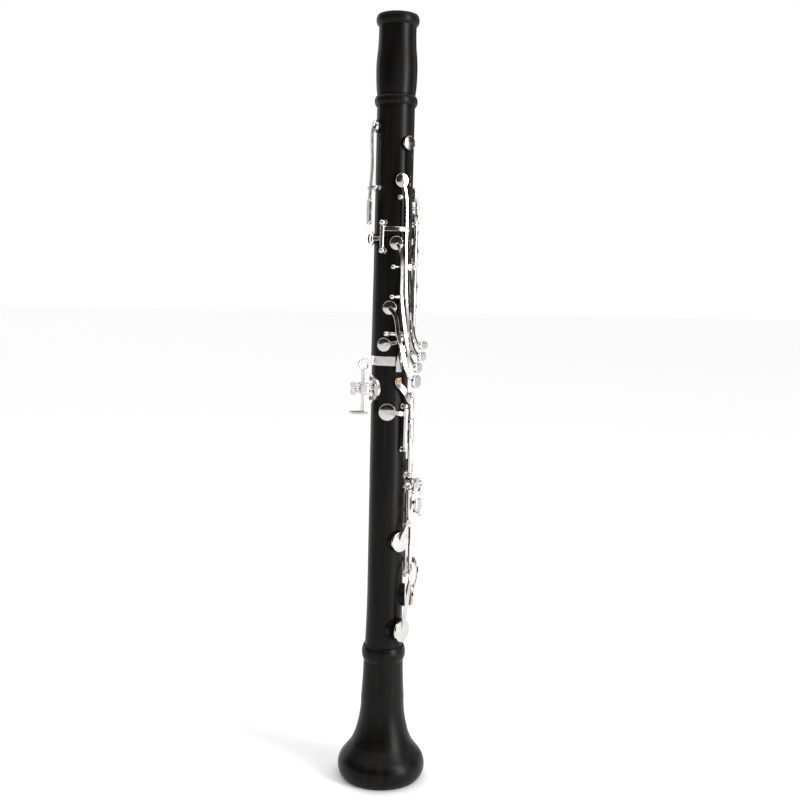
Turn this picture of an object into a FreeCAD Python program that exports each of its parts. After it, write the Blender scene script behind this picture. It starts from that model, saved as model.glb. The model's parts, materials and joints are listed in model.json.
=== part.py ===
import FreeCAD, Part
import math
import os
import Sketcher
from FreeCAD import Placement, Rotation, Vector

os.makedirs("parts", exist_ok=True)
doc = FreeCAD.newDocument("Clarinet")

# ---------------------------------------------------------------------------
# Driving sizes, millimetres and degrees.
# ---------------------------------------------------------------------------
SIZES = {
    # lengths of the four joints, as seen when assembled
    "barrel_length": 67.3,
    "upper_length": 189.5,
    "ring_length": 7.0,
    "lower_length": 222.5,
    "bell_length": 107.7,
    # wood
    "upper_radius": 14.4,
    "lower_radius": 14.3,
    "barrel_radius": 14.2,
    "barrel_bulge": 15.6,
    "barrel_bead": 16.3,
    "bead_height": 7.3,
    "bell_bead": 17.3,
    "bell_bead_height": 11.4,
    "bell_neck": 15.8,
    "bell_rim": 34.65,
    "bell_wall": 4.6,
    "bore_radius": 7.4,
    "socket_radius": 11.0,
    "socket_depth": 17.0,
    "tenon_socket": 11.7,
    "tenon_depth": 18.0,
    "tenon_core": 10.6,
    "cork_gap": 0.05,
    "ring_wall": 1.5,
    # tone holes and pads
    "hole_radius": 3.9,
    "chimney_wall": 1.2,
    "chimney_rise": 2.4,
    "seat_rise": 0.7,
    "low_seat_rise": 1.6,
    "seat_lip": 0.7,
    "pad_gap": 0.08,
    "pad_thickness": 1.9,
    "trill_pad": 4.9,
    "side_pad": 6.2,
    "low_pad": 8.4,
    "flat_pad": 7.6,
    "vent_pad": 4.3,
    "cup_wall": 0.35,
    "cup_dome": 0.9,
    # hinges
    "rod_radius": 0.9,
    "rod_gap": 0.06,
    "tube_radius": 1.75,
    "ball_radius": 2.3,
    "small_ball": 1.9,
    "end_gap": 0.12,
    "hinge_rise": 4.5,
    "pin_rise": 3.0,
    # levers
    "lever_width": 2.3,
    "lever_thick": 1.4,
    "arm_width": 3.0,
    "arm_thick": 1.3,
    "ring_inner": 5.6,
    "ring_band": 1.8,
    "ring_thick": 1.3,
    "ring_lift": 1.3,
    "low_lift": 2.6,
    # thumb rest
    "rest_plate_thick": 1.3,
    "rest_bar_width": 5.0,
    "rest_bar_thick": 2.2,
    "rest_gap": 0.1,
    "strap_ring_inner": 3.0,
    "strap_ring_band": 1.5,
}

sheet = doc.addObject("Spreadsheet::Sheet", "Sizes")
for row, (alias, number) in enumerate(SIZES.items(), 1):
    sheet.set("A%d" % row, alias)
    sheet.set("B%d" % row, str(number))
    sheet.setAlias("B%d" % row, alias)
doc.recompute()


class Size:
    """A number that also carries the sheet expression it comes from."""

    def __init__(self, value, text):
        self.value = value
        self.text = text

    def __add__(self, other):
        other = as_size(other)
        return Size(self.value + other.value, "(%s + %s)" % (self.text, other.text))

    def __sub__(self, other):
        other = as_size(other)
        return Size(self.value - other.value, "(%s - %s)" % (self.text, other.text))

    def __mul__(self, factor):
        return Size(self.value * factor, "(%s * %s)" % (self.text, factor))

    def __float__(self):
        return float(self.value)


def as_size(number):
    return number if isinstance(number, Size) else Size(float(number), str(number))


class Cells:
    """Sheet cells by name: cell.bore_radius is the bound size."""

    def __getattr__(self, alias):
        return Size(float(sheet.get(alias)), "Sizes." + alias)


cell = Cells()
nodes = {}


def keep(label, thing):
    thing.Label = label
    nodes[label] = thing
    return thing


def bind(thing, field, size):
    thing.setExpression(field, as_size(size).text)


# ---------------------------------------------------------------------------
# Levels along the axis, from the foot of the bell (0) up to the barrel's top.
# ---------------------------------------------------------------------------
lower_base = cell.bell_length
ring_base = lower_base + cell.lower_length
upper_base = ring_base + cell.ring_length
barrel_base = upper_base + cell.upper_length
barrel_top = barrel_base + cell.barrel_length

# Tone holes and keys follow the length of the joint that carries them: their
# heights are for joints of these lengths.
STANDARD_UPPER = 189.5
STANDARD_LOWER = 222.5


def up(height):
    """Level of a point of the upper joint, from its lower shoulder."""
    return float(upper_base) + height * float(cell.upper_length) / STANDARD_UPPER


def low(height):
    """Level of a point of the lower joint, from its lower shoulder."""
    return float(lower_base) + height * float(cell.lower_length) / STANDARD_LOWER


# ---------------------------------------------------------------------------
# Directions round the body. Angles run from the front (+X) to the player's
# right (-Y), so 90 is the right side and 180 the back.
# ---------------------------------------------------------------------------
UP = Vector(0, 0, 1)


def outward(angle):
    return Vector(math.cos(math.radians(angle)), -math.sin(math.radians(angle)), 0)


def sideways(angle):
    return Vector(-math.sin(math.radians(angle)), -math.cos(math.radians(angle)), 0)


def facing(angle):
    """Turn a piece drawn flat: its Z to the outside, its Y up the body."""
    return Rotation(sideways(angle) * -1, UP, outward(angle), "ZXY")


def spot(angle, radius, level):
    return outward(angle) * float(radius) + Vector(0, 0, float(level))


# ---------------------------------------------------------------------------
# Turned pieces: a sketched half outline, revolved.
# ---------------------------------------------------------------------------
def axis_plane(body, role):
    for feature in body.Origin.OriginFeatures:
        if feature.Role == role:
            return feature


def turned(label, outline):
    """Revolve corners (radius, level, bulge); a bulge rounds the stretch after its corner."""
    body = doc.addObject("PartDesign::Body", label)
    sketch = body.newObject("Sketcher::SketchObject", label + "_outline")
    sketch.AttachmentSupport = (axis_plane(body, "XZ_Plane"), [""])
    sketch.MapMode = "FlatFace"
    corners = [Vector(float(radius), float(level), 0) for radius, level, bulge in outline]
    for index, (radius, level, bulge) in enumerate(outline):
        start = corners[index]
        end = corners[(index + 1) % len(corners)]
        if bulge:
            along = (end - start).normalize()
            middle = (start + end) * 0.5 + Vector(along.y, -along.x, 0) * bulge
            sketch.addGeometry(Part.Arc(start, middle, end))
        else:
            sketch.addGeometry(Part.LineSegment(start, end))
    for index, (radius, level, bulge) in enumerate(outline):
        before = (index - 1) % len(outline)
        meet = nearest_end(sketch, before, corners[index])
        own = nearest_end(sketch, index, corners[index])
        sketch.addConstraint(Sketcher.Constraint("Coincident", before, meet, index, own))
        for kind, size in (("DistanceX", radius), ("DistanceY", level)):
            if abs(float(size)) < 1e-9:
                continue
            number = sketch.addConstraint(
                Sketcher.Constraint(kind, -1, 1, index, own, float(size)))
            sketch.setExpression("Constraints[%d]" % number, as_size(size).text)
    turn = body.newObject("PartDesign::Revolution", label + "_turned")
    turn.Profile = sketch
    turn.ReferenceAxis = (sketch, ["V_Axis"])
    turn.Angle = 360
    body.Tip = turn
    doc.recompute()
    return body


def nearest_end(sketch, index, point):
    """Which end of a sketch edge, 1 or 2, lies on the point."""
    if (sketch.getPoint(index, 1) - point).Length < 1e-6:
        return 1
    return 2


def cylinder(name, radius, height, base, direction=UP):
    thing = doc.addObject("Part::Cylinder", name)
    bind(thing, "Radius", radius)
    bind(thing, "Height", height)
    thing.Placement = Placement(base, Rotation(UP, direction))
    return thing


def fuse(name, things):
    thing = doc.addObject("Part::MultiFuse", name)
    thing.Shapes = things
    return thing


def cut(name, base, tool):
    thing = doc.addObject("Part::Cut", name)
    thing.Base = base
    thing.Tool = tool
    return thing


def feature(label, shape, place=None):
    """A piece whose shape is worked out here from the sheet's sizes."""
    thing = doc.addObject("Part::Feature", label)
    thing.Shape = shape
    thing.Placement = place or Placement()
    return thing


# ---------------------------------------------------------------------------
# Barrel and bell
# ---------------------------------------------------------------------------
def make_barrel():
    bead = cell.bead_height
    groove = 0.5
    body = turned("barrel", [
        (cell.bore_radius, barrel_base + cell.tenon_depth, 0),
        (cell.tenon_socket, barrel_base + cell.tenon_depth, 0),
        (cell.tenon_socket, barrel_base, 0),
        (cell.barrel_bead - 1.0, barrel_base, 0),
        (cell.barrel_bead - 0.9, barrel_base + 0.3, 0.95),
        (cell.barrel_bead - 0.9, barrel_base + bead - 0.3, 0),
        (cell.barrel_radius - 0.1, barrel_base + bead, 0),
        (cell.barrel_radius - 0.1, barrel_base + bead + groove, 0),
        (cell.barrel_radius + 0.36, barrel_base + bead + groove * 2, 0.25),
        (cell.barrel_bulge, barrel_base + cell.barrel_length * 0.35, 0.35),
        (cell.barrel_radius + 0.6, barrel_base + cell.barrel_length * 0.6, -0.25),
        (cell.barrel_radius, barrel_top - bead - 1.0, 0),
        (cell.barrel_bead - 0.9, barrel_top - bead + 0.2, 0.9),
        (cell.barrel_bead - 0.9, barrel_top - 0.4, 0),
        (cell.barrel_bead - 1.3, barrel_top, 0),
        (cell.socket_radius + 0.4, barrel_top, 0),
        (cell.socket_radius, barrel_top - 0.4, 0),
        (cell.socket_radius, barrel_top - cell.socket_depth, 0),
        (cell.bore_radius, barrel_top - cell.socket_depth, 0),
    ])
    keep("barrel", body)


def make_bell():
    bead = cell.bell_bead_height
    rim = cell.bell_rim
    wall = cell.bell_wall
    body = turned("bell", [
        (rim - 5.2, 0, 0),
        (rim - 4.2, 0, 1.1),
        (rim, 9.2, 0.95),
        (rim - 3.4, 19.5, -0.15),
        (rim - 9.8, 27.8, -0.5),
        (rim - 14.5, 40.3, -0.9),
        (cell.bell_neck + 1.35, 65.3, -0.25),
        (cell.bell_neck, lower_base - bead - 1.3, 0),
        (cell.bell_bead - 1.1, lower_base - bead - 0.2, 1.15),
        (cell.bell_bead - 1.1, lower_base - 0.5, 0),
        (cell.bell_bead - 1.9, lower_base, 0),
        (cell.tenon_socket, lower_base, 0),
        (cell.tenon_socket, lower_base - cell.tenon_depth, 0),
        (cell.bell_neck - wall, lower_base - cell.tenon_depth, 0.25),
        (cell.bell_neck + 1.35 - wall, 60.0, 1.4),
        (rim - 14.5 - wall, 36.0, 2.0),
    ])
    keep("bell", body)


# ---------------------------------------------------------------------------
# Upper and lower joints: turned, with raised seats and bored tone holes
# ---------------------------------------------------------------------------
def upper_outline():
    core = cell.tenon_core
    depth = cell.tenon_depth - 0.5
    return [
        (cell.bore_radius, upper_base - depth, 0),
        (core, upper_base - depth, 0),
        (core, upper_base, 0),
        (cell.upper_radius + 0.5, upper_base, 0),
        (cell.upper_radius, upper_base + cell.upper_length * 0.35, 0),
        (cell.upper_radius, barrel_base, 0),
        (core, barrel_base, 0),
        (core, barrel_base + depth, 0),
        (cell.bore_radius, barrel_base + depth, 0),
    ]


def lower_outline():
    core = cell.tenon_core
    depth = cell.tenon_depth - 0.5
    inside = cell.upper_radius + 0.5 - cell.ring_wall
    return [
        (cell.bore_radius + 2.0, lower_base - depth, 0),
        (core, lower_base - depth, 0),
        (core, lower_base, 0),
        (cell.lower_radius + 0.7, lower_base, -0.15),
        (cell.lower_radius - 0.3, lower_base + cell.lower_length * 0.18, 0),
        (cell.lower_radius, ring_base, 0),
        (inside, ring_base, 0),
        (inside, upper_base, 0),
        (cell.tenon_socket, upper_base, 0),
        (cell.tenon_socket, upper_base - cell.tenon_depth, 0),
        (cell.bore_radius, upper_base - cell.tenon_depth, 0),
        (cell.bore_radius, lower_base + cell.lower_length * 0.25, 0),
    ]


def seat(name, angle, level, wood, pad, rise):
    """Raised wooden seat under a pad."""
    return cylinder(name + "_seat", pad + cell.seat_lip, wood + rise, Vector(0, 0, level), outward(angle))


def hole(name, angle, level, radius):
    return cylinder(name + "_hole", radius, 40, Vector(0, 0, level), outward(angle))


def bore_tool(name, outline_radius, base, length):
    return cylinder(name, outline_radius, length, Vector(0, 0, float(base)))


# Seats: name, angle, level, pad size, rise of the seat, share of the pad that is hole
UPPER_PADS = [
    ("register", 180, up(173.8), cell.vent_pad, cell.seat_rise, 0.35),
    ("trill_4", 71, up(160.8), cell.trill_pad, cell.seat_rise, 0.55),
    ("trill_3", 91, up(132.8), cell.trill_pad, cell.seat_rise, 0.55),
    ("trill_2", 102, up(86.1), cell.trill_pad, cell.seat_rise, 0.55),
    ("trill_1", 116, up(37.3), cell.trill_pad, cell.seat_rise, 0.55),
    ("throat_a", 0, up(124.0), cell.trill_pad, cell.seat_rise, 0.55),
    ("throat_g", -62, up(140.0), cell.trill_pad, cell.seat_rise, 0.55),
    ("first_ring", 2, up(95.0), cell.vent_pad, cell.seat_rise, 0.55),
    ("second_ring", 2, up(38.5), cell.vent_pad, cell.seat_rise, 0.55),
    ("left_side", -84, up(31.0), cell.trill_pad, cell.seat_rise, 0.55),
    ("c_sharp", 129, up(9.2), cell.trill_pad, cell.seat_rise, 0.55),
]
LOWER_PADS = [
    ("right_side", 116, low(187.1), cell.side_pad, cell.seat_rise, 0.55),
    ("right_rings", -30, low(179.0), cell.side_pad, cell.seat_rise, 0.55),
    ("a_flat", 72, low(85.6), cell.flat_pad, cell.low_seat_rise, 0.6),
    ("f_sharp", -52, low(74.0), cell.low_pad, cell.low_seat_rise, 0.6),
    ("f_key", 22, low(40.0), cell.low_pad, cell.low_seat_rise, 0.6),
    ("e_key", 70, low(15.0), cell.low_pad, cell.low_seat_rise, 0.6),
]
UPPER_FINGERS = [("left_first", 0, up(80.8)), ("left_second", 0, up(53.8)), ("left_third", 0, up(23.0))]
LOWER_FINGERS = [("right_first", 0, low(192.5)), ("right_second", 0, low(166.0)), ("right_third", 0, low(143.0))]
THUMB_LEVEL = up(89.3)


def make_joint(label, outline, wood, pads, fingers, extra_holes):
    body = turned(label + "_turned", outline)
    solids = [body]
    holes = []
    for name, angle, level, pad, rise, share in pads:
        solids.append(seat(name, angle, level, wood, pad, rise))
        holes.append(hole(name, angle, level, pad * share))
    for name, angle, level in fingers:
        chimney = cell.hole_radius + cell.chimney_wall
        solids.append(cylinder(name + "_chimney", chimney, wood + cell.chimney_rise,
                               Vector(0, 0, level), outward(angle)))
        holes.append(hole(name, angle, level, cell.hole_radius))
    holes.extend(extra_holes)
    return cut(label, fuse(label + "_blank", solids), fuse(label + "_holes", holes)), body


def make_upper():
    depth = cell.tenon_depth - 0.5
    bore = bore_tool("upper_bore", cell.bore_radius, upper_base - depth, cell.upper_length + depth * 2)
    thumb = hole("thumb", 180, THUMB_LEVEL, cell.hole_radius)
    joint, body = make_joint("upper_joint", upper_outline(), cell.upper_radius, UPPER_PADS,
                             UPPER_FINGERS, [bore, thumb])
    keep("upper_joint", joint)
    return body


def make_lower():
    low_end = lower_base - cell.tenon_depth + 0.5
    bore = bore_tool("lower_bore", cell.bore_radius, low_end, cell.lower_length + cell.tenon_depth * 2)
    joint, body = make_joint("lower_joint", lower_outline(), cell.lower_radius, LOWER_PADS,
                             LOWER_FINGERS, [bore])
    keep("lower_joint", joint)
    return body


def sleeve(label, inner, outer, base, length):
    """A plain ring about the main axis."""
    body = turned(label, [
        (inner, base, 0),
        (outer, base, 0),
        (outer, base + length, 0),
        (inner, base + length, 0),
    ])
    keep(label, body)


def make_sleeves():
    cork = cell.tenon_socket - cell.cork_gap
    length = cell.tenon_depth - 4.0
    sleeve("upper_top_cork", cell.tenon_core, cork, barrel_base + 1.5, length)
    sleeve("upper_bottom_cork", cell.tenon_core, cork, upper_base - 1.5 - length, length)
    sleeve("lower_cork", cell.tenon_core, cork, lower_base - 1.5 - length, length)
    outside = cell.upper_radius + 0.5
    sleeve("socket_ring", outside - cell.ring_wall, outside, ring_base, cell.ring_length)


# ---------------------------------------------------------------------------
# Keywork shapes
# ---------------------------------------------------------------------------
def eased(points, step=7.0):
    """More points along a route, smooth in angle, radius and level."""
    route = []
    for index in range(len(points) - 1):
        near = points[max(index - 1, 0)]
        start, end = points[index], points[index + 1]
        far = points[min(index + 2, len(points) - 1)]
        count = max(1, round((spot(*end) - spot(*start)).Length / step))
        for number in range(count):
            share = number / count
            route.append(tuple(
                start[k] + share * ((end[k] - near[k]) / 2 + share * (
                    near[k] - 2.5 * start[k] + 2 * end[k] - far[k] / 2 + share * (
                        1.5 * start[k] - near[k] / 2 - 1.5 * end[k] + far[k] / 2)))
                for k in range(3)))
    return route + [points[-1]]


def bar(points, width, thick):
    """A flat bar through (angle, radius, level) points, its broad face outward."""
    places = [spot(*point) for point in eased(points)]
    sections = []
    for index, place in enumerate(places):
        before = places[max(index - 1, 0)]
        after = places[min(index + 1, len(places) - 1)]
        along = (after - before).normalize()
        out = Vector(place.x, place.y, 0).normalize()
        out = (out - along * out.dot(along)).normalize()
        side = along.cross(out)
        half = float(width) / 2
        rise = float(thick) / 2
        edge = rise * 0.45
        corners = [(half, -rise + edge), (half, rise - edge), (half - edge, rise), (-half + edge, rise),
                   (-half, rise - edge), (-half, -rise + edge), (-half + edge, -rise), (half - edge, -rise)]
        ring = [place + side * across + out * lift for across, lift in corners]
        sections.append(Part.makePolygon(ring + [ring[0]]))
    return Part.makeLoft(sections, True, len(places) == 2)


def dish(angle, level, deck, pad, arm_rise=0.0):
    """A key cup: rounded rim, shallow dome, hollow below for its pad."""
    inner = float(pad) + 0.02
    outer = inner + float(cell.cup_wall)
    foot = float(cell.pad_gap) + float(cell.pad_thickness) * 0.3
    roof = float(cell.pad_gap) + float(cell.pad_thickness) + 0.02
    top = roof + float(cell.cup_dome)
    shoulder = roof + float(cell.cup_wall)
    rim = Vector(outer, 0, shoulder - 0.35)
    bend = Vector(outer - 0.12, 0, shoulder - 0.08)
    edge = Vector(outer - 0.45, 0, shoulder)
    rise = top - shoulder
    ball_radius = (edge.x ** 2 + rise ** 2) / (2 * rise)
    flat = 0.5
    crown = Vector(flat, 0, top - ball_radius + math.sqrt(ball_radius ** 2 - flat ** 2))
    flank = Vector(outer * 0.5, 0, top - ball_radius + math.sqrt(ball_radius ** 2 - (outer * 0.5) ** 2))
    outline = [
        Part.makeLine(Vector(0, 0, roof), Vector(inner, 0, roof)),
        Part.makeLine(Vector(inner, 0, roof), Vector(inner, 0, foot)),
        Part.makeLine(Vector(inner, 0, foot), Vector(outer, 0, foot)),
        Part.makeLine(Vector(outer, 0, foot), rim),
        Part.Arc(rim, bend, edge).toShape(),
        Part.Arc(edge, flank, crown).toShape(),
        Part.makeLine(crown, Vector(0, 0, crown.z)),
        Part.makeLine(Vector(0, 0, crown.z), Vector(0, 0, roof)),
    ]
    cup = Part.Face(Part.Wire(outline)).revolve(Vector(), UP, 360)
    cup = Part.Solid(cup) if cup.ShapeType == "Shell" else cup
    cup.Placement = Placement(spot(angle, deck, level), Rotation(UP, outward(angle)))
    return cup


def cup_top(deck):
    return float(deck) + float(cell.pad_gap) + float(cell.pad_thickness) + float(cell.cup_dome)


def tube(angle, radius, start, end):
    """Hinge tube along the body, bored for its rod."""
    length = end - start
    outer = Part.makeCylinder(float(cell.tube_radius), length, spot(angle, radius, start), UP)
    return outer


def tube_bore(angle, radius, start, end):
    bore = float(cell.rod_radius) + float(cell.rod_gap)
    return Part.makeCylinder(bore, end - start + 2, spot(angle, radius, start - 1), UP)


def touch(angle, radius, level, length, width, thick, lean=0.0, roll=0.0):
    """A finger touch: a plate with rounded corners and a soft upper edge; a thick one is soft below too.

    lean turns it in its own plane, roll tips it about the long side."""
    plate = Part.makeBox(width, length, thick, Vector(-width / 2, -length / 2, -thick / 2))
    corner = min(width, length) * (0.45 if thick > 2.8 else 0.36)
    upright = [edge for edge in plate.Edges if abs(edge.tangentAt(edge.FirstParameter).z) > 0.9]
    plate = plate.makeFillet(corner, upright)
    top = [edge for edge in plate.Edges
           if all(abs(vertex.Point.z - thick / 2) < 1e-6 for vertex in edge.Vertexes)]
    plate = plate.makeFillet(thick * 0.45, top)
    if thick > 2.8:
        under = [edge for edge in plate.Edges
                 if all(abs(vertex.Point.z + thick / 2) < 1e-6 for vertex in edge.Vertexes)]
        plate = plate.makeFillet(thick * 0.3, under)
    turn = facing(angle).multiply(Rotation(UP, lean)).multiply(Rotation(Vector(0, 1, 0), roll))
    plate.Placement = Placement(spot(angle, radius, level), turn)
    return plate


def finger_ring(angle, radius, level, inner, band):
    """Flat ring round a finger hole."""
    thick = float(cell.ring_thick)
    foot = spot(angle, float(radius) - thick / 2, level)
    ring = Part.makeCylinder(inner + band, thick, foot, outward(angle))
    ring = ring.makeFillet(thick * 0.4, [edge for edge in ring.Edges if edge.Closed])
    return ring.cut(Part.makeCylinder(inner, thick * 3, foot - outward(angle) * thick, outward(angle)))


def swung(hinge, opening):
    """The placement that swings a closed key open about its hinge."""
    if not hinge:
        return Placement()
    return Placement(Vector(), Rotation(hinge[1], opening), hinge[0])


def finish_key(label, pieces, bores, hinge=None, opening=0.0):
    """Join a key's pieces, bore it, clear its pad and swing it open about its hinge."""
    shape = pieces[0].multiFuse(pieces[1:])
    for bore in bores + pad_rooms:
        shape = shape.cut(bore)
    pad_rooms.clear()
    shape = shape.removeSplitter()
    if len(shape.Solids) == 1:
        shape = shape.Solids[0]
    keep(label, feature(label, shape, swung(hinge, opening)))


def make_pad(name, angle, level, deck, pad, hinge=None, opening=0.0):
    """The pad in a cup: a bound cylinder that follows its key."""
    foot = spot(angle, float(deck) + float(cell.pad_gap), level)
    disc = cylinder(name + "_pad", pad, cell.pad_thickness, foot, outward(angle))
    disc.Placement = swung(hinge, opening).multiply(disc.Placement)
    keep(name + "_pad", disc)
    room = Part.makeCylinder(float(pad) + 0.02, float(cell.pad_thickness) + 0.02 + float(cell.pad_gap),
                             spot(angle, deck, level), outward(angle))
    pad_rooms.append(room)


# ---------------------------------------------------------------------------
# Posts, rods and pins gather here while the keys are made
# ---------------------------------------------------------------------------
pad_rooms = []
post_shapes = {"upper": [], "lower": []}
spring_shapes = {"upper": [], "lower": []}
rod_shapes = {"upper": [], "lower": []}
wood_bodies = {}


def screw_slot(end, direction):
    """Slot across the end of a rod."""
    block = Part.makeBox(4, 0.35, 0.8, Vector(-2, -0.175, -0.4))
    block.Placement = Placement(end, Rotation(UP, direction))
    return block


def add_rod(where, start, end):
    along = (end - start).normalize()
    rod = Part.makeCylinder(float(cell.rod_radius), (end - start).Length, start, along)
    rod_shapes[where].append(rod.cut(screw_slot(start, along)).cut(screw_slot(end, along)))


def add_post(where, centre, ball, rod_direction):
    """Ball post standing on the wood, drilled for its rod."""
    level = Vector(0, 0, centre.z)
    out = (centre - level).normalize()
    wood = float(cell.upper_radius if where == "upper" else cell.lower_radius)
    inside = level + out * (wood - 1.5)
    reach = (centre - inside).Length
    head = Part.makeSphere(ball, centre)
    stem = Part.makeCone(ball * 0.72, ball * 0.5, reach, inside, out)
    flange = Part.makeCylinder(ball * 1.05, 2.2, inside, out)
    post = head.multiFuse([stem, flange])
    drill = Part.makeCylinder(float(cell.rod_radius) + 0.01, ball * 4, centre - rod_direction * ball * 2,
                              rod_direction)
    post_shapes[where].append(post.cut(drill))


def add_spring(where, angle, radius, start):
    """Needle spring that lies along the foot of a hinge tube."""
    inset = float(cell.tube_radius) + 0.6
    wire = Part.makeCone(0.28, 0.16, 9.0, spot(angle, radius - inset, start), UP)
    spring_shapes[where].append(wire)


def axial_hinge(where, angle, radius, start, end, ball, sprung=True):
    """Posts at both ends of an upright rod; returns the span left for the tube."""
    add_post(where, spot(angle, radius, start), ball, UP)
    add_post(where, spot(angle, radius, end), ball, UP)
    add_rod(where, spot(angle, radius, start - ball * 0.8), spot(angle, radius, end + ball * 0.8))
    if sprung:
        add_spring(where, angle, radius, start + ball * 0.8)
    reach = ball + float(cell.end_gap)
    return start + reach, end - reach


def cross_hinge(where, angle, radius, level, left, right, ball):
    """Posts at both ends of a pin that lies across the body."""
    side = sideways(angle)
    centre = spot(angle, radius, level)
    for offset in (left, right):
        add_post(where, centre + side * offset, ball, side)
    add_rod(where, centre + side * (left - ball * 0.8), centre + side * (right + ball * 0.8))
    return centre, side


def cross_tube(centre, side, start, end):
    return Part.makeCylinder(float(cell.tube_radius) - 0.2, end - start, centre + side * start, side)


def cross_bore(centre, side):
    bore = float(cell.rod_radius) + float(cell.rod_gap)
    return Part.makeCylinder(bore, 60, centre - side * 30, side)


upper_hinge = float(cell.upper_radius) + float(cell.hinge_rise)
lower_hinge = float(cell.lower_radius) + float(cell.hinge_rise)
upper_pin = float(cell.upper_radius) + float(cell.pin_rise)
upper_deck = float(cell.upper_radius) + float(cell.seat_rise)
lower_deck = float(cell.lower_radius) + float(cell.seat_rise)
low_deck = float(cell.lower_radius) + float(cell.low_seat_rise)
ring_radius = float(cell.upper_radius) + float(cell.chimney_rise) + float(cell.ring_thick) / 2
low_ring_radius = float(cell.lower_radius) + float(cell.chimney_rise) + float(cell.ring_thick) / 2
ball = float(cell.ball_radius)
small_ball = float(cell.small_ball)
width = float(cell.lever_width)
thick = float(cell.lever_thick)
arm = float(cell.arm_width)
arm_thick = float(cell.arm_thick)


def pad_place(name):
    for entry in UPPER_PADS + LOWER_PADS:
        if entry[0] == name:
            return entry[1], entry[2], entry[3]


def cup_and_pad(name, deck, hinge=None, opening=0.0):
    angle, level, pad = pad_place(name)
    make_pad(name, angle, level, deck, pad, hinge, opening)
    return dish(angle, level, deck, pad)


# ---------------------------------------------------------------------------
# Trill levers on the right side. Each swings in its own upright plane on a pin
# that lies across the body.
# ---------------------------------------------------------------------------
def make_trill_levers():
    rise = float(cell.upper_radius)
    over = upper_pin + 2.0
    top = cup_top(upper_deck) - 0.3
    # number: route of the lever from the cup to the touch, touch, and pin
    routes = {
        4: [(71, top, up(160.8)), (69.5, rise + 4.6, up(150)), (68.5, rise + 4.9, up(100)),
            (67.5, over, up(70)), (66, rise + 6.6, up(45)), (63, rise + 8.2, up(22)),
            (57, rise + 9.8, up(12)), (46, rise + 12.0, up(8.2))],
        3: [(91, top, up(132.8)), (84, rise + 4.0, up(126)), (80.5, rise + 4.9, up(112)),
            (80, over, up(70)), (79.5, rise + 6.6, up(45)), (72, rise + 8.0, up(20)),
            (63, rise + 9.6, up(6)), (50, rise + 11.6, up(1.0))],
        2: [(102, top, up(86.1)), (94, rise + 4.3, up(80)), (90, rise + 5.8, up(70)),
            (88.5, over, up(46)), (84, rise + 7.3, up(25)), (76, rise + 8.8, up(5)),
            (66, rise + 9.7, up(-4)), (56, rise + 10.4, up(-7.0))],
        1: [(116, top, up(37.3)), (106, rise + 3.8, up(33.5)), (98, rise + 4.4, up(26)),
            (95, over, up(17.6)), (86, rise + 6.0, up(6)), (79, rise + 7.0, up(-6)),
            (72, rise + 8.6, up(-14)), (62, rise + 10.2, up(-17.0))],
    }
    touches = {4: (44, rise + 12.6, up(9.0), 6.4, 9.4, -18), 3: (46, rise + 12.2, up(0.4), 7.4, 9.4, -14),
               2: (54, rise + 10.8, up(-8.0), 8.0, 9.0, -6), 1: (58, rise + 10.8, up(-18.6), 10.2, 10.4, 0)}
    pins = {4: (88, up(68.2), -7.4, -5.0), 3: (88, up(68.2), -4.8, -0.6),
            2: (88, up(45.6), -2.4, 3.4), 1: (98, up(17.6), -2.4, 4.6)}
    for number, (angle, level, start, end) in pins.items():
        centre = spot(angle, upper_pin, level)
        side = sideways(angle)
        spread = {4: width, 3: width, 2: width + 0.2, 1: width + 1.0}[number]
        name = "trill_%d" % number
        pieces = [bar(routes[number], spread, thick), cup_and_pad(name, upper_deck)]
        pieces.append(cross_tube(centre, side, start, end))
        where, radius, height, length, across, roll = touches[number]
        pieces.append(touch(where, radius, height, length, across, 3.0, 0, roll))
        saddle = Part.makeBox(2.0, 4.4, over - upper_pin, Vector(-1.0, -2.2, 0))
        middle = {4: -6.2, 3: -2.6, 2: 0.2, 1: -0.4}[number]
        saddle.Placement = Placement(centre + side * middle, facing(angle))
        pieces.append(saddle)
        finish_key(name + "_lever", pieces, [cross_bore(centre, side)])
    cross_hinge("upper", 88, upper_pin, up(68.2), -9.9, 6.4, small_ball)
    cross_hinge("upper", 88, upper_pin, up(45.6), -4.6, 7.0, small_ball)
    cross_hinge("upper", 98, upper_pin, up(17.6), -4.6, 7.8, small_ball)
    add_post("upper", spot(93, upper_pin - 0.4, up(120.4)), small_ball, sideways(93))


# ---------------------------------------------------------------------------
# Register key and throat keys
# ---------------------------------------------------------------------------
def make_register_key():
    angle = 180
    level = up(127.8)
    centre, side = cross_hinge("upper", angle, upper_pin, level, -6.6, 6.6, small_ball)
    top = cup_top(upper_deck) - 0.3
    over = upper_pin + 1.9
    route = [(angle, top, up(173.8)), (angle, top + 1.2, up(166)), (angle, top + 0.6, up(145)),
             (angle, over, up(128)), (angle, over + 0.6, up(118)), (angle, over + 0.9, up(104))]
    pieces = [
        bar(route, 3.6, 1.5),
        cup_and_pad("register", upper_deck),
        cross_tube(centre, side, -4.6, 4.6),
        touch(angle, over + 0.8, up(109.5), 19.5, 7.2, 1.8),
    ]
    finish_key("register_key", pieces, [cross_bore(centre, side)])


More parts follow.
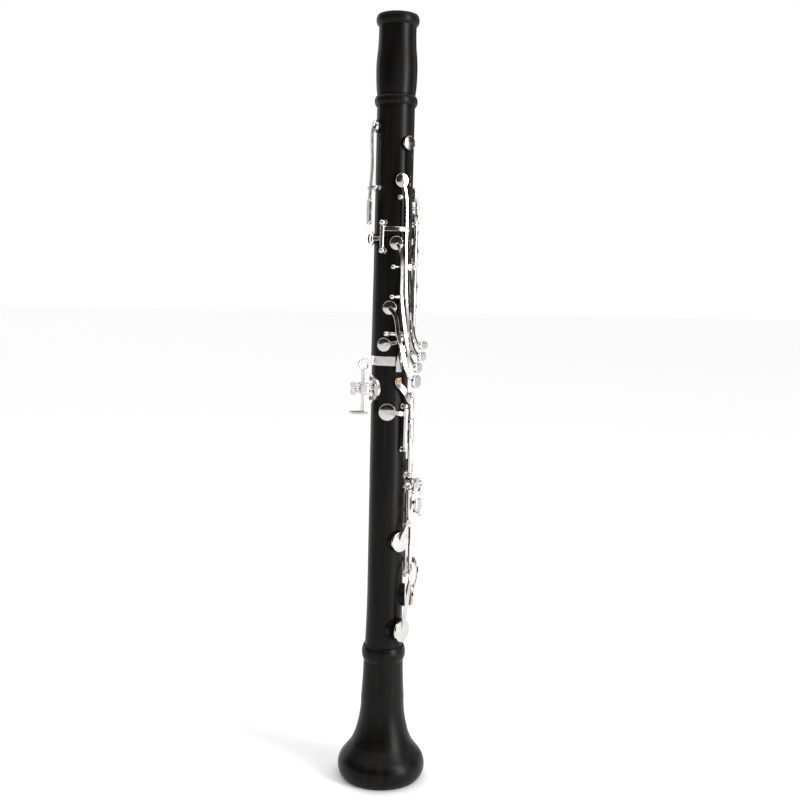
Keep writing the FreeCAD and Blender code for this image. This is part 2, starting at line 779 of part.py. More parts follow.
def make_throat_keys():
    centre, side = cross_hinge("upper", 0, upper_pin, up(113.8), -5.2, 5.2, small_ball)
    top = cup_top(upper_deck) - 0.3
    over = upper_pin + 1.8
    route = [(0, top, up(124.0)), (0, over, up(118)), (0, over, up(113)), (0, over + 0.4, up(106))]
    pieces = [
        bar(route, 3.2, 1.4),
        cup_and_pad("throat_a", upper_deck),
        cross_tube(centre, side, -3.2, 3.2),
        touch(0, over + 0.7, up(106.4), 7.6, 6.6, 1.7),
        Part.makeCylinder(0.8, 2.6, spot(0, over - 0.2, up(110.6)), outward(0)),
    ]
    finish_key("throat_a_key", pieces, [cross_bore(centre, side)])
    angle = -40
    start, end = axial_hinge("upper", angle, upper_hinge, up(109), up(146), small_ball)
    pieces = [
        tube(angle, upper_hinge, start, end),
        bar([(angle, upper_hinge, up(140)), (-50, upper_hinge - 0.2, up(140)), (-62, top, up(140))], arm, arm_thick),
        cup_and_pad("throat_g", upper_deck),
        bar([(angle, upper_hinge, up(114.5)), (-32, upper_hinge + 0.9, up(113)), (-26, upper_hinge + 1.2, up(110))],
            arm, arm_thick),
        touch(-24, upper_hinge + 1.6, up(107.0), 9.0, 5.6, 1.7),
    ]
    finish_key("throat_g_key", pieces, [tube_bore(angle, upper_hinge, start, end)])


# ---------------------------------------------------------------------------
# Ring keys
# ---------------------------------------------------------------------------
RING_ROD = 47


def ring_swing(radius):
    """Angle that raises a ring off its chimney by the named lift."""
    reach = 2 * radius * math.sin(math.radians(RING_ROD / 2))
    return -math.degrees(float(cell.ring_lift) / reach)


def ring_with_arm(radius, hinge_radius, level):
    """A front ring and the arm that joins it to the rod."""
    inner = float(cell.ring_inner)
    band = float(cell.ring_band)
    return [
        finger_ring(0, radius, level, inner, band),
        bar([(20, radius + 0.9, level), (34, radius + 1.5, level), (RING_ROD, hinge_radius, level)],
            arm, arm_thick),
    ]


def make_upper_ring_keys():
    hinge = (spot(RING_ROD, upper_hinge, 0), UP)
    swing = ring_swing(ring_radius)
    top = cup_top(upper_deck) - 0.3
    start, end = axial_hinge("upper", RING_ROD, upper_hinge, up(70.0), up(101.5), ball)
    pieces = [tube(RING_ROD, upper_hinge, start, end)] + ring_with_arm(ring_radius, upper_hinge, up(80.8))
    pieces.append(cup_and_pad("first_ring", upper_deck, hinge, swing))
    pieces.append(bar([(2, top, up(95.0)), (24, top + 0.5, up(95.0)), (RING_ROD, upper_hinge, up(95.0))],
                      arm, arm_thick))
    finish_key("first_ring_key", pieces, [tube_bore(RING_ROD, upper_hinge, start, end)], hinge, swing)
    span = up(70.0) - ball - float(cell.end_gap)
    add_post("upper", spot(RING_ROD, upper_hinge, up(3.6)), ball, UP)
    add_rod("upper", spot(RING_ROD, upper_hinge, up(3.6) - ball * 0.8),
            spot(RING_ROD, upper_hinge, up(70.0) - ball * 0.9))
    start = up(3.6) + ball + float(cell.end_gap)
    pieces = [tube(RING_ROD, upper_hinge, start, span)] + ring_with_arm(ring_radius, upper_hinge, up(53.8))
    pieces.append(cup_and_pad("second_ring", upper_deck, hinge, swing))
    pieces.append(bar([(2, top, up(38.5)), (24, top + 0.5, up(38.5)), (RING_ROD, upper_hinge, up(38.5))],
                      arm, arm_thick))
    bridge = [(RING_ROD, upper_hinge - 0.6, up(9.5)), (62, upper_hinge - 0.9, up(8.5)),
              (76, upper_hinge - 1.3, up(5.5)), (86, upper_hinge - 1.3, up(-1.0)), (87, upper_hinge - 1.3, up(-11.5))]
    pieces.append(bar(bridge, 4.4, 1.3))
    finish_key("second_ring_key", pieces, [tube_bore(RING_ROD, upper_hinge, start, span)], hinge, swing)


def make_right_ring_key():
    hinge = (spot(RING_ROD, lower_hinge, 0), UP)
    swing = ring_swing(low_ring_radius)
    top = cup_top(lower_deck) - 0.3
    start, end = axial_hinge("lower", RING_ROD, lower_hinge, low(137.0), low(200.0), ball)
    pieces = [tube(RING_ROD, lower_hinge, start, end)]
    for name, angle, level in LOWER_FINGERS:
        pieces += ring_with_arm(low_ring_radius, lower_hinge, level)
    pieces.append(cup_and_pad("right_rings", lower_deck, hinge, swing))
    route = [(-32, top, low(178.8)), (-8, top + 0.4, low(179.2)), (20, top + 0.5, low(179.4)),
             (RING_ROD, lower_hinge, low(179.4))]
    pieces.append(bar(route, arm, arm_thick))
    bridge = [(RING_ROD, lower_hinge, low(194.5)), (58, lower_hinge + 0.2, low(196.5)),
              (74, lower_hinge - 0.6, low(204.5)), (85, lower_hinge - 1.2, low(208.5)),
              (87, lower_hinge - 1.2, low(213.5))]
    pieces.append(bar(bridge, 4.6, 1.3))
    finish_key("right_ring_key", pieces, [tube_bore(RING_ROD, lower_hinge, start, end)], hinge, swing)
    foot = lower_hinge - 1.2 + 0.66
    cork = Part.makeBox(3.6, 4.2, 1.1, Vector(-1.8, -2.1, -0.2))
    cork.Placement = Placement(spot(86.5, foot, low(210.8)), facing(86.5))
    closed = nodes["right_ring_key"].Shape.copy()
    closed.Placement = Placement()
    keep("bridge_cork", feature("bridge_cork", cork.cut(closed), swung(hinge, swing)))


THUMB_ROD = 137


def make_thumb_ring_key():
    start, end = axial_hinge("upper", THUMB_ROD, upper_hinge, up(80.2), up(101.1), ball)
    hinge = (spot(THUMB_ROD, upper_hinge, 0), UP)
    swing = 4.2
    inner = 4.1
    radius = ring_radius
    under = float(cell.upper_radius) + 2.4
    pieces = [
        tube(THUMB_ROD, upper_hinge, start, end),
        finger_ring(180, radius, THUMB_LEVEL, inner, 1.7),
        bar([(163, radius + 0.6, THUMB_LEVEL), (150, radius + 0.9, THUMB_LEVEL),
             (THUMB_ROD, upper_hinge, THUMB_LEVEL)], arm, arm_thick),
        bar([(THUMB_ROD, upper_hinge, up(96.6)), (124, under + 1.6, up(96.6)), (108, under + 0.6, up(96.6)),
             (88, under + 0.3, up(96.6)), (66, under + 0.3, up(96.6))], 3.4, 1.3),
    ]
    finish_key("thumb_ring_key", pieces, [tube_bore(THUMB_ROD, upper_hinge, start, end)], hinge, swing)
    bushing = Part.makeCylinder(float(cell.hole_radius) - 0.02, 12.0, spot(180, 8.0, THUMB_LEVEL), outward(180))
    bushing = bushing.cut(Part.makeCylinder(3.0, 14.0, spot(180, 7.0, THUMB_LEVEL), outward(180)))
    cap = spot(180, float(cell.upper_radius) + float(cell.chimney_rise), THUMB_LEVEL)
    trim = Part.makeBox(20, 20, 20, Vector(-10, -10, 0))
    trim.Placement = Placement(cap, Rotation(UP, outward(180)))
    keep("thumb_tube", feature("thumb_tube", bushing.cut(trim)))
    nozzle = Part.makeCylinder(1.45, 10.0, spot(180, 5.0, up(173.8)), outward(180))
    nozzle = nozzle.cut(Part.makeCylinder(0.9, 12.0, spot(180, 4.0, up(173.8)), outward(180)))
    keep("register_tube", feature("register_tube", nozzle))


# ---------------------------------------------------------------------------
# Side keys and the C sharp key
# ---------------------------------------------------------------------------
def make_side_keys():
    top = cup_top(upper_deck) - 0.3
    angle = -62
    start, end = axial_hinge("upper", angle, upper_hinge, up(22.0), up(52.0), small_ball)
    pieces = [
        tube(angle, upper_hinge, start, end),
        cup_and_pad("left_side", upper_deck),
        bar([(angle, upper_hinge, up(31)), (-73, upper_hinge, up(31)), (-84, top, up(31))], arm, arm_thick),
        bar([(angle, upper_hinge, up(44)), (-48, upper_hinge + 0.7, up(42)), (-36, upper_hinge + 0.8, up(40))],
            arm, arm_thick),
        touch(-34, upper_hinge + 1.1, up(38.5), 10.0, 4.4, 1.6),
    ]
    finish_key("left_side_key", pieces, [tube_bore(angle, upper_hinge, start, end)])

    angle = 64
    radius = upper_hinge - 1.9
    start, end = axial_hinge("upper", angle, radius, up(13.2), up(28.5), small_ball - 0.3, False)
    wood = float(cell.upper_radius)
    pieces = [
        tube(angle, radius, start, end),
        cup_and_pad("c_sharp", upper_deck),
        bar([(angle, radius, up(19.4)), (74, radius, up(15.2)), (90, radius, up(12.0)),
             (110, radius + 0.6, up(10.2)), (129, top, up(9.2))], 2.4, arm_thick),
        bar([(angle - 2, radius - 0.2, up(20.4)), (50, wood + 1.6, up(19)), (30, wood + 2.4, up(14.5)),
             (0, wood + 3.0, up(10.5)), (-26, wood + 3.8, up(8)), (-45, wood + 4.9, up(4))],
            2.8, 1.1),
        touch(-48, wood + 5.4, up(1.0), 13.0, 6.0, 1.7, 12),
    ]
    finish_key("c_sharp_key", pieces, [tube_bore(angle, radius, start, end)])

    top = cup_top(lower_deck) - 0.3
    angle = 68
    start, end = axial_hinge("lower", angle, lower_hinge, low(158.0), low(191.5), small_ball)
    pieces = [
        tube(angle, lower_hinge, start, end),
        cup_and_pad("right_side", lower_deck),
        bar([(angle, lower_hinge, low(186)), (88, lower_hinge + 0.3, low(186.4)), (102, lower_hinge, low(187)),
             (116, top, low(187.1))], 3.4, arm_thick),
        bar([(angle, lower_hinge, low(180)), (62, lower_hinge + 2.2, low(180)), (57, lower_hinge + 3.2, low(179))],
            arm, arm_thick),
        touch(56, lower_hinge + 3.4, low(174.5), 15.5, 3.4, 1.5),
    ]
    finish_key("right_side_key", pieces, [tube_bore(angle, lower_hinge, start, end)])


# ---------------------------------------------------------------------------
# Right little-finger keys: touches in a group of four, long tubes to the pads
# ---------------------------------------------------------------------------
def low_swing(angle, name):
    """Angle that lifts an open-standing pad off its seat by the named lift."""
    where, level, pad = pad_place(name)
    reach = 2 * (low_deck + 1) * math.sin(math.radians((where - angle) / 2))
    return math.degrees(float(cell.low_lift) / reach)


def make_little_finger_keys():
    top = cup_top(low_deck) - 0.3
    above = lower_hinge + 2.6
    # E key: long tube on the front right, flat arm round to the lowest pad
    angle = 24
    radius = lower_hinge + 0.4
    hinge = (spot(angle, radius, 0), UP)
    start, end = axial_hinge("lower", angle, radius, low(58.5), low(131.0), small_ball)
    opening = low_swing(angle, "e_key")
    pieces = [
        tube(angle, radius, start, end),
        cup_and_pad("e_key", low_deck, hinge, opening),
        bar([(angle, radius, low(64)), (42, radius + 1.3, low(62.5)), (56, radius + 1.5, low(54)),
             (64, radius + 1.0, low(38)), (68, top + 0.3, low(23)), (70, top, low(15))], 4.6, 1.3),
        bar([(angle, radius, low(115)), (36, above + 0.8, low(115)), (46, above + 3.0, low(115))], arm, arm_thick),
        touch(50, above + 3.8, low(114.5), 10.5, 8.6, 2.4, 0, -14),
    ]
    finish_key("e_key", pieces, [tube_bore(angle, radius, start, end)], hinge, opening)

    # F key: tube on the front left, long flat arm down the front
    angle = -14
    hinge = (spot(angle, radius, 0), UP)
    start, end = axial_hinge("lower", angle, radius, low(53.0), low(122.0), small_ball)
    opening = low_swing(angle, "f_key")
    pieces = [
        tube(angle, radius, start, end),
        cup_and_pad("f_key", low_deck, hinge, opening),
        bar([(angle, radius, low(66)), (-4, radius + 2.2, low(66)), (8, radius + 3.2, low(66)),
             (19, radius + 3.4, low(62)), (22, radius + 3.1, low(54)), (22, top + 1.4, low(46)),
             (22, top, low(40))], 4.4, 1.4),
        bar([(angle, radius, low(106)), (-2, above + 0.9, low(106)), (8, above + 2.6, low(106))], arm, arm_thick),
        touch(13, above + 3.4, low(107.0), 9.6, 9.0, 2.2, 0, -4),
    ]
    finish_key("f_key", pieces, [tube_bore(angle, radius, start, end)], hinge, opening)

    # A flat key: short tube between its touch on the front and its pad on the right
    angle = 46
    start, end = axial_hinge("lower", angle, radius, low(98.0), low(128.0), small_ball)
    pieces = [
        tube(angle, radius, start, end),
        cup_and_pad("a_flat", low_deck),
        bar([(angle, radius, low(103)), (56, radius + 1.3, low(101)), (66, radius + 1.4, low(95)),
             (72, top, low(85.6))], 4.0, 1.4),
        bar([(angle, radius, low(123)), (40, above + 1.4, low(124.5)), (27, above + 4.6, low(126.5))],
            arm, arm_thick),
        touch(25, above + 5.0, low(127.0), 10.0, 9.0, 2.4, 0, 10),
    ]
    finish_key("a_flat_key", pieces, [tube_bore(angle, radius, start, end)])

    # F sharp key: pad on the front left, tube beyond it, arm across the front
    angle = -88
    hinge = (spot(angle, radius, 0), UP)
    start, end = axial_hinge("lower", angle, radius, low(62.0), low(136.0), small_ball)
    opening = low_swing(angle, "f_sharp")
    pieces = [
        tube(angle, radius, start, end),
        cup_and_pad("f_sharp", low_deck, hinge, opening),
        bar([(angle, radius, low(74)), (-70, radius + 0.9, low(74)), (-52, top, low(74))], 4.0, 1.4),
        bar([(angle, radius, low(130)), (-60, above - 0.6, low(130)), (-36, above - 0.2, low(130)),
             (-16, above + 1.0, low(129.5)), (-6, above + 2.8, low(128))], arm, arm_thick),
        touch(-1, above + 3.8, low(126.0), 10.0, 9.0, 2.2, 0, -2),
    ]
    finish_key("f_sharp_key", pieces, [tube_bore(angle, radius, start, end)], hinge, opening)


def make_left_levers():
    """Left little-finger levers: three long tubes down the left side, each with a pin at its foot."""
    plan = [("e_lever", -72, 149.0, 206.0), ("f_sharp_lever", -92, 152.0, 203.0), ("f_lever", -112, 155.0, 200.0)]
    radius = lower_hinge
    for name, angle, foot, head in plan:
        start, end = axial_hinge("lower", angle, radius, low(foot), low(head), small_ball)
        pieces = [
            tube(angle, radius, start, end),
            bar([(angle, radius, low(head - 7)), (angle + 8, radius + 2.0, low(head - 7)),
                 (angle + 17, radius + 5.0, low(head - 5))], arm, arm_thick),
            touch(angle + 20, radius + 5.6, low(head - 4.0), 15.0, 5.8, 1.8),
            bar([(angle, radius, low(foot + 5)), (angle + 7, radius + 1.8, low(foot + 4)),
                 (angle + 11, radius + 2.4, low(foot - 2))], arm, arm_thick),
        ]
        finish_key(name, pieces, [tube_bore(angle, radius, start, end)])


# ---------------------------------------------------------------------------
# Thumb rest on the back of the lower joint
# ---------------------------------------------------------------------------
REST_BACK = 180


def make_thumb_rest():
    wood = float(cell.lower_radius)
    plate_low = low(193.5)
    plate_high = low(216.0)
    sheet_thick = float(cell.rest_plate_thick)
    ring = Part.makeCylinder(wood + sheet_thick, plate_high - plate_low, Vector(0, 0, plate_low))
    ring = ring.cut(wood_bodies["lower"].Shape)
    ring = ring.cut(Part.makeCylinder(wood - 0.6, 60, Vector(0, 0, plate_low - 10)))
    half = 9.0
    middle = (plate_low + plate_high) / 2 - 0.5
    tall = (plate_high - plate_low) / 2 - 0.4
    oval = Part.Ellipse(Vector(0, 0, 0), tall, half).toShape()
    outline = Part.Face(Part.Wire([oval])).extrude(Vector(0, 0, 40))
    outline.Placement = Placement(Vector(0, 0, middle), Rotation(Vector(0, 1, 0), -90))
    stem_start = wood + sheet_thick - 0.4
    bar_radius = wood + 7.4
    gap = float(cell.rest_gap)
    bar_wide = float(cell.rest_bar_width)
    bar_thick = float(cell.rest_bar_thick)
    stem = Part.makeCylinder(2.6, bar_radius - stem_start - 2.6, spot(REST_BACK, stem_start, middle),
                             outward(REST_BACK))
    block = Part.makeBox(bar_thick + 5.2, bar_wide + 4.4, 9.0,
                         Vector(-bar_radius - bar_thick / 2 - 2.6, -bar_wide / 2 - 2.2, middle - 4.5))
    block = block.makeFillet(1.4, block.Edges)
    channel = Part.makeBox(bar_thick + gap * 2, bar_wide + gap * 2, 20,
                           Vector(-bar_radius - bar_thick / 2 - gap, -bar_wide / 2 - gap, middle - 10))
    thread = Part.makeCylinder(1.55, 9.0, spot(REST_BACK, bar_radius + bar_thick / 2, middle), outward(REST_BACK))
    plate = ring.common(outline).multiFuse([stem, block]).cut(channel).cut(thread)
    screws = []
    heads = []
    for side in (-1, 1):
        level = middle + side * 7.6
        seat_place = spot(REST_BACK, wood + sheet_thick - 0.5, level)
        head = Part.makeCylinder(1.9, 4.0, seat_place, outward(REST_BACK))
        head = head.common(Part.makeSphere(2.3, spot(REST_BACK, wood + sheet_thick - 0.9, level)))
        heads.append(Part.makeCylinder(1.92, 4.0, seat_place, outward(REST_BACK)))
        top_place = spot(REST_BACK, wood + sheet_thick + 1.4, level)
        screws.append(head.cut(screw_slot(top_place, outward(REST_BACK))))
    plate = plate.cut(heads[0].fuse(heads[1]))
    keep("thumb_rest_base", feature("thumb_rest_base", plate.removeSplitter()))
    keep("thumb_rest_screws", feature("thumb_rest_screws", Part.makeCompound(screws)))

    foot = low(186.0)
    head_level = low(219.3)
    slide = Part.makeBox(bar_thick, bar_wide, head_level - foot,
                         Vector(-bar_radius - bar_thick / 2, -bar_wide / 2, foot))
    upright = [edge for edge in slide.Edges if abs(edge.tangentAt(edge.FirstParameter).z) > 0.9]
    slide = slide.makeFillet(0.5, upright)
    thumb = Part.makeBox(bar_thick + 10.4, 14.0, 1.5, Vector(-bar_radius - bar_thick / 2 - 9.4, -7.0, foot - 1.2))
    corners = [edge for edge in thumb.Edges
               if abs(edge.tangentAt(edge.FirstParameter).z) > 0.9 and edge.CenterOfMass.x < -bar_radius - 8]
    thumb = thumb.makeFillet(5.0, corners)
    inner = float(cell.strap_ring_inner)
    outer = inner + float(cell.strap_ring_band)
    ring_level = head_level + outer - 0.6
    eye = Part.makeTorus((inner + outer) / 2, (outer - inner) / 2, Vector(-bar_radius, 0, ring_level),
                         Vector(0, 1, 0))
    neck = Part.makeCone(1.1, 0.5, ring_level - (inner + outer) / 2 - head_level + 0.6,
                         Vector(-bar_radius, 0, head_level - 0.6))
    keep("thumb_rest_slide", feature("thumb_rest_slide", slide.multiFuse([thumb, eye, neck]).removeSplitter()))

    shank_start = bar_radius + bar_thick / 2 + 0.12
    shank = Part.makeCylinder(1.5, 5.4, spot(REST_BACK, shank_start, middle), outward(REST_BACK))
    collar = Part.makeCylinder(2.5, 2.0, spot(REST_BACK, shank_start + 3.4, middle), outward(REST_BACK))
    wing = Part.makeBox(4.8, 1.6, 9.6, Vector(-shank_start - 9.4, -0.8, middle - 4.8))
    flat = [edge for edge in wing.Edges
            if abs(edge.tangentAt(edge.FirstParameter).y) > 0.9 and edge.CenterOfMass.x < -shank_start - 8]
    wing = wing.makeFillet(2.1, flat)
    dip = Part.makeCylinder(2.0, 6, Vector(-shank_start - 10.3, -3, middle), Vector(0, 1, 0))
    screw = shank.multiFuse([collar, wing.cut(dip)])
    keep("thumb_rest_thumbscrew", feature("thumb_rest_thumbscrew", screw.removeSplitter()))


def gather_hardware():
    for where in ("upper", "lower"):
        wood = wood_bodies[where].Shape
        posts = [post.cut(wood) for post in post_shapes[where]]
        posts = [max(post.Solids, key=lambda solid: solid.Volume) for post in posts]
        keep(where + "_posts", feature(where + "_posts", Part.makeCompound(posts)))
        keep(where + "_rods", feature(where + "_rods", Part.makeCompound(rod_shapes[where])))
        keep(where + "_springs", feature(where + "_springs", Part.makeCompound(spring_shapes[where])))


def check_and_write():
    doc.recompute()
    for thing in doc.Objects:
        if "Invalid" in thing.State or "Error" in thing.State:
            raise RuntimeError("object failed: " + thing.Label)
    for label, thing in nodes.items():
        shape = thing.Shape
        if shape.isNull() or not shape.isValid() or not shape.Solids:
            raise RuntimeError("bad shape: " + label)
        print(label, len(shape.Solids), round(shape.Volume, 1))
        shape.exportStep("parts/" + label + ".step")


make_barrel()
make_bell()
wood_bodies["upper"] = make_upper()
wood_bodies["lower"] = make_lower()
make_sleeves()
doc.recompute()
make_trill_levers()
make_register_key()
make_throat_keys()
make_upper_ring_keys()
make_right_ring_key()
make_thumb_ring_key()
make_side_keys()
make_little_finger_keys()
make_left_levers()
make_thumb_rest()
gather_hardware()
check_and_write()
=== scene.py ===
import json
import math

import bpy
from mathutils import Matrix, Vector

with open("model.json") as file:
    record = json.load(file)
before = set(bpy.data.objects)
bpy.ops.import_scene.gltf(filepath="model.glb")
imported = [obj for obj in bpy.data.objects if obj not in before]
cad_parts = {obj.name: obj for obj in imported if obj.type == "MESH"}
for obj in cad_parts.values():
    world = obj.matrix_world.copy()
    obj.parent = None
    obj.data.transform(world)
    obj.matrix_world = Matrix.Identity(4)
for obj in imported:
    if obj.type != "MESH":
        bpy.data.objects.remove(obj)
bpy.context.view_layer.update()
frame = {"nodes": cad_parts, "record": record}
nodes = frame["nodes"]


# ---------------------------------------------------------------------------
# Materials
# ---------------------------------------------------------------------------
NOISE_LOW, NOISE_HIGH = 0.30, 0.70      # most of a noise lies between these
TINT_START, TINT_END = 0.35, 0.68       # where one colour gives way to the other


def shader_of(material):
    return material.node_tree.nodes["Principled BSDF"]


def new_material(name, color, roughness, metallic=0.0):
    material = bpy.data.materials.new(name)
    material.use_nodes = True
    shader = shader_of(material)
    shader.inputs["Base Color"].default_value = (*color, 1.0)
    shader.inputs["Roughness"].default_value = roughness
    shader.inputs["Metallic"].default_value = metallic
    return material


def noise(material, scale, along=1.0, detail=4.0):
    """A noise in object coordinates; a small value of along draws it out along the bore."""
    tree = material.node_tree
    place = tree.nodes.new("ShaderNodeTexCoord")
    mapping = tree.nodes.new("ShaderNodeMapping")
    mapping.inputs["Scale"].default_value = (1.0, 1.0, along)
    texture = tree.nodes.new("ShaderNodeTexNoise")
    texture.inputs["Scale"].default_value = scale
    texture.inputs["Detail"].default_value = detail
    tree.links.new(place.outputs["Object"], mapping.inputs["Vector"])
    tree.links.new(mapping.outputs["Vector"], texture.inputs["Vector"])
    return texture.outputs["Fac"]


def tint(material, source, first, second):
    """Mixes two base colours by a noise."""
    tree = material.node_tree
    ramp = tree.nodes.new("ShaderNodeValToRGB")
    start, end = ramp.color_ramp.elements
    start.position, start.color = TINT_START, (*first, 1.0)
    end.position, end.color = TINT_END, (*second, 1.0)
    tree.links.new(source, ramp.inputs["Fac"])
    tree.links.new(ramp.outputs["Color"], shader_of(material).inputs["Base Color"])


def roughen(material, source, low, high):
    """Varies the roughness from low to high by a noise."""
    tree = material.node_tree
    ramp = tree.nodes.new("ShaderNodeMapRange")
    ramp.inputs["From Min"].default_value = NOISE_LOW
    ramp.inputs["From Max"].default_value = NOISE_HIGH
    ramp.inputs["To Min"].default_value = low
    ramp.inputs["To Max"].default_value = high
    tree.links.new(source, ramp.inputs["Value"])
    tree.links.new(ramp.outputs["Result"], shader_of(material).inputs["Roughness"])


def bump(material, source, strength, depth):
    """Raises the surface by a noise; depth is in metres."""
    tree = material.node_tree
    relief = tree.nodes.new("ShaderNodeBump")
    relief.inputs["Strength"].default_value = strength
    relief.inputs["Distance"].default_value = depth
    tree.links.new(source, relief.inputs["Height"])
    tree.links.new(relief.outputs["Normal"], shader_of(material).inputs["Normal"])


def make_blackwood():
    """Oiled grenadilla: near black, with fine pores drawn out along the bore."""
    wood = new_material("blackwood", (0.004, 0.0038, 0.0038), 0.34)
    shader_of(wood).inputs["Specular IOR Level"].default_value = 0.12
    grain = noise(wood, scale=260.0, along=0.06)
    tint(wood, grain, first=(0.0022, 0.002, 0.002), second=(0.0065, 0.0056, 0.0052))
    roughen(wood, noise(wood, scale=90.0, along=0.12), low=0.27, high=0.40)
    bump(wood, noise(wood, scale=2600.0, along=0.05, detail=2.0), strength=0.10, depth=0.0002)
    return wood


def make_silver():
    """Polished silver plate with faint handling marks."""
    silver = new_material("silver", (0.62, 0.615, 0.60), 0.12, metallic=1.0)
    tint(silver, noise(silver, scale=75.0), first=(0.66, 0.655, 0.645), second=(0.57, 0.555, 0.525))
    roughen(silver, noise(silver, scale=240.0), low=0.07, high=0.17)
    bump(silver, noise(silver, scale=900.0, detail=2.0), strength=0.03, depth=0.0001)
    return silver


def make_steel():
    """Drawn steel of the rods, springs and screws."""
    steel = new_material("steel", (0.42, 0.42, 0.43), 0.28, metallic=1.0)
    roughen(steel, noise(steel, scale=1500.0, along=0.05), low=0.20, high=0.36)
    return steel


def make_pad():
    """Skin over felt, tan at the pad's edge."""
    pad = new_material("pad", (0.66, 0.44, 0.24), 0.55)
    tint(pad, noise(pad, scale=420.0), first=(0.70, 0.49, 0.28), second=(0.50, 0.31, 0.16))
    bump(pad, noise(pad, scale=1400.0), strength=0.25, depth=0.0002)
    return pad


def make_cork():
    """Sheet cork with dark flecks."""
    cork = new_material("cork", (0.52, 0.33, 0.17), 0.8)
    flecks = noise(cork, scale=1300.0, detail=6.0)
    tint(cork, flecks, first=(0.60, 0.40, 0.21), second=(0.24, 0.13, 0.06))
    bump(cork, noise(cork, scale=1800.0), strength=0.5, depth=0.0003)
    return cork


def make_ebonite():
    """Hard rubber of the thumb-hole tube."""
    ebonite = new_material("ebonite", (0.014, 0.013, 0.013), 0.22)
    roughen(ebonite, noise(ebonite, scale=300.0), low=0.16, high=0.30)
    return ebonite


finishes = {
    "blackwood": make_blackwood(),
    "silver": make_silver(),
    "steel": make_steel(),
    "pad": make_pad(),
    "cork": make_cork(),
    "ebonite": make_ebonite(),
}
for part in frame["record"]["subparts"]:
    mesh = nodes[part["node"]].data
    mesh.materials.clear()
    mesh.materials.append(finishes[part["material_slot"]])


# ---------------------------------------------------------------------------
# Studio: pale floor, white surroundings, a tall key light and a faint edge light
# ---------------------------------------------------------------------------
FLOOR_HALF = 30.0               # m
FLOOR_GAP = 0.0001              # m below the bell's rim
AIM_LEVEL = 0.32                # m, where the lights point

# azimuth in degrees and how bright the room is there: white cards between black flags
CARDS_AND_FLAGS = (
    (-90, 0.30), (-70, 0.03),
    (18, 0.02), (25, 0.95), (48, 0.95), (55, 0.05),
    (80, 0.05), (87, 0.75), (112, 0.75), (119, 0.07),
    (158, 0.07), (165, 0.7), (214, 0.6), (222, 0.06),
    (258, 0.08), (270, 0.30),
)
GRADIENT_START = -90            # degrees, the azimuth where the radial gradient is 0
OVERHEAD_FROM, OVERHEAD_TO = 0.45, 0.75     # heights on the unit sky where the top light grows
OVERHEAD_POWER = 1.35


def direction(azimuth):
    """Level direction from the clarinet; 0 is the player's right, 90 is the front."""
    turn = math.radians(azimuth)
    return Vector((math.sin(turn), -math.cos(turn), 0.0))


def add_to_scene(thing):
    bpy.context.scene.collection.objects.link(thing)
    return thing


def make_floor():
    ends = (-FLOOR_HALF, FLOOR_HALF)
    corners = [(ends[i], ends[j], -FLOOR_GAP) for i, j in ((0, 0), (1, 0), (1, 1), (0, 1))]
    mesh = bpy.data.meshes.new("floor")
    mesh.from_pydata(corners, [], [(0, 1, 2, 3)])
    mesh.materials.append(new_material("floor_white", (0.86, 0.86, 0.86), 0.9))
    floor = add_to_scene(bpy.data.objects.new("floor", mesh))


def add_light(name, azimuth, distance, level, width, height, power):
    lamp = bpy.data.lights.new(name, "AREA")
    lamp.shape = "RECTANGLE"
    lamp.size = width
    lamp.size_y = height
    lamp.energy = power
    light = add_to_scene(bpy.data.objects.new(name, lamp))
    light.location = direction(azimuth) * distance + Vector((0.0, 0.0, level))
    aim = Vector((0.0, 0.0, AIM_LEVEL)) - light.location
    light.rotation_euler = aim.to_track_quat("-Z", "Y").to_euler()


def light_around(tree, place):
    """Brightness by azimuth, from the cards and flags."""
    gradient = tree.nodes.new("ShaderNodeTexGradient")
    gradient.gradient_type = "RADIAL"
    ramp = tree.nodes.new("ShaderNodeValToRGB")
    stops = ramp.color_ramp.elements
    while len(stops) < len(CARDS_AND_FLAGS):
        stops.new(0.5)
    for stop, (azimuth, grey) in zip(stops, CARDS_AND_FLAGS):
        stop.position = (azimuth - GRADIENT_START) / 360.0
        stop.color = (grey, grey, grey, 1.0)
    tree.links.new(place, gradient.inputs["Vector"])
    tree.links.new(gradient.outputs["Fac"], ramp.inputs["Fac"])
    return ramp.outputs["Color"]


def light_overhead(tree, place):
    """Brightness that grows toward the zenith."""
    axes = tree.nodes.new("ShaderNodeSeparateXYZ")
    growth = tree.nodes.new("ShaderNodeMapRange")
    growth.interpolation_type = "SMOOTHSTEP"
    growth.inputs["From Min"].default_value = OVERHEAD_FROM
    growth.inputs["From Max"].default_value = OVERHEAD_TO
    growth.inputs["To Max"].default_value = OVERHEAD_POWER
    tree.links.new(place, axes.inputs["Vector"])
    tree.links.new(axes.outputs["Z"], growth.inputs["Value"])
    return growth.outputs["Result"]


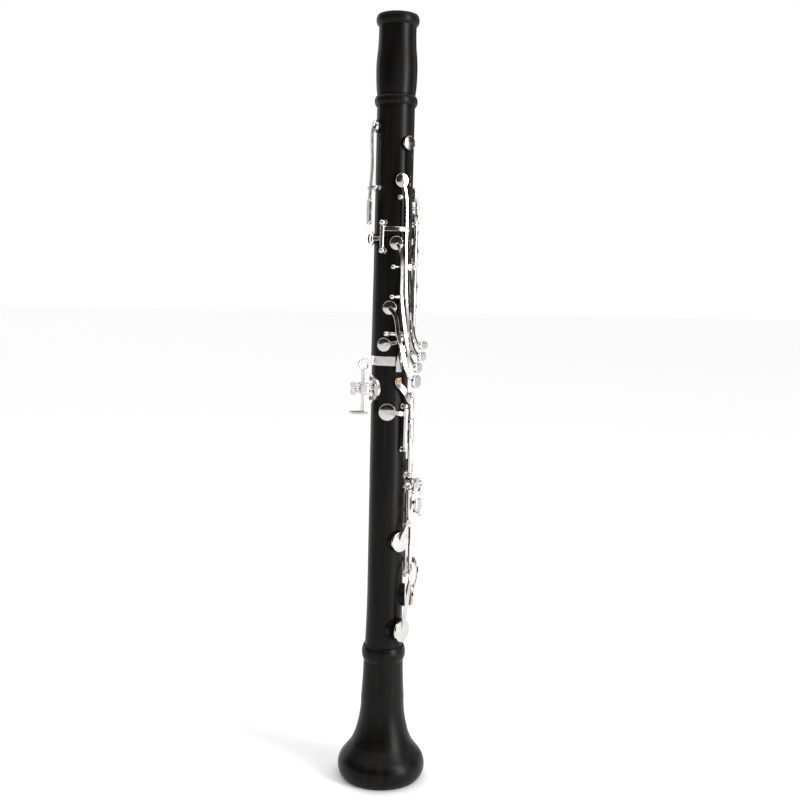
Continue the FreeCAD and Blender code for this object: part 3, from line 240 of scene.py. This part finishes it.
def make_world():
    """White to the camera; light and reflections come from the cards, the flags and the top."""
    world = bpy.data.worlds.new("studio")
    bpy.context.scene.world = world
    world.use_nodes = True
    tree = world.node_tree
    tree.nodes.clear()
    place = tree.nodes.new("ShaderNodeTexCoord").outputs["Generated"]
    total = tree.nodes.new("ShaderNodeVectorMath")
    total.operation = "ADD"
    tree.links.new(light_around(tree, place), total.inputs[0])
    tree.links.new(light_overhead(tree, place), total.inputs[1])
    room = tree.nodes.new("ShaderNodeBackground")
    tree.links.new(total.outputs["Vector"], room.inputs["Color"])
    seen = tree.nodes.new("ShaderNodeBackground")
    seen.inputs["Color"].default_value = (1.0, 1.0, 1.0, 1.0)
    path = tree.nodes.new("ShaderNodeLightPath")
    mix = tree.nodes.new("ShaderNodeMixShader")
    tree.links.new(path.outputs["Is Camera Ray"], mix.inputs["Fac"])
    tree.links.new(room.outputs["Background"], mix.inputs[1])
    tree.links.new(seen.outputs["Background"], mix.inputs[2])
    output = tree.nodes.new("ShaderNodeOutputWorld")
    tree.links.new(mix.outputs["Shader"], output.inputs["Surface"])


def make_camera():
    """A short telephoto a little behind the player's right side, tilted and leaning slightly."""
    azimuth = -22.0
    distance = 0.816
    level = 0.380
    offset = 0.0084
    pitch = math.radians(5.4)
    roll = math.radians(1.39)
    upright = Vector((0.0, 0.0, 1.0))
    toward = -direction(azimuth)
    ahead = (toward * math.cos(pitch) - upright * math.sin(pitch)).normalized()
    right = ahead.cross(upright).normalized()
    above = right.cross(ahead)
    leaning_right = right * math.cos(roll) + above * math.sin(roll)
    leaning_up = above * math.cos(roll) - right * math.sin(roll)
    turn = Matrix((leaning_right, leaning_up, -ahead)).transposed()
    lens = bpy.data.cameras.new("camera")
    lens.lens = 47.25
    lens.sensor_width = 36.0
    camera = add_to_scene(bpy.data.objects.new("camera", lens))
    place = direction(azimuth) * distance + right * offset + upright * level
    camera.matrix_world = Matrix.Translation(place) @ turn.to_4x4()
    bpy.context.scene.camera = camera


bpy.context.scene.view_settings.view_transform = "Standard"
make_floor()
make_world()
make_camera()
add_light("key", azimuth=34.0, distance=1.5, level=0.60, width=0.42, height=1.3, power=24.0)
add_light("edge", azimuth=-150.0, distance=1.4, level=0.6, width=0.3, height=1.2, power=2.0)
